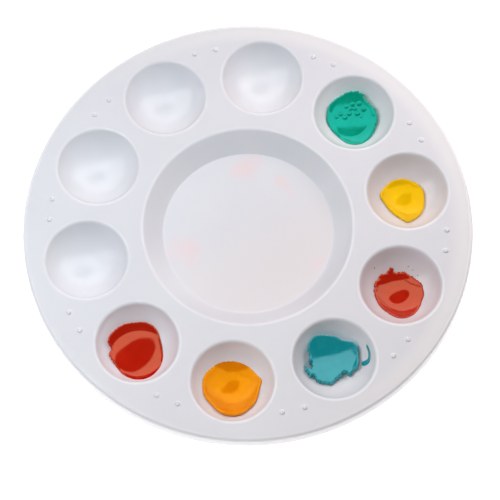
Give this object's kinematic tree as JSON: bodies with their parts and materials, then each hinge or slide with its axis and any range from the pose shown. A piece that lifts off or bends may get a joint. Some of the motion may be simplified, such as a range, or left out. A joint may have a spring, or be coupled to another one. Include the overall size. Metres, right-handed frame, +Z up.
{
  "type": "mixing palette",
  "caption": "Round one-piece paint mixing palette: a ring of bowl-shaped wells, some holding wet paint, around a wide shallow central mixing well.",
  "frame": {"origin": "centre of the resting plane, under the middle of the round tray", "axes": "+Z up, out of the mixing face; +Y through the middle of an empty well, with the orange paint's well opposite it at -Y"},
  "size_m": [0.17, 0.17, 0.0115],
  "materials": {
    "tray_plastic": "cool off-white moulded plastic, satin gloss, slightly translucent",
    "yellow_paint": "wet gloss paint",
    "green_paint": "wet gloss paint",
    "red_paint": "wet gloss paint",
    "orange_paint": "wet gloss paint",
    "teal_paint": "wet gloss paint"
  },
  "bodies": {
    "root": {"tray": "tray_plastic", "paint_yellow": "yellow_paint", "paint_green": "green_paint", "paint_red_left": "red_paint", "paint_orange": "orange_paint", "paint_teal": "teal_paint", "paint_teal_streak": "teal_paint", "paint_red_right": "red_paint"}
  },
  "joints": []
}
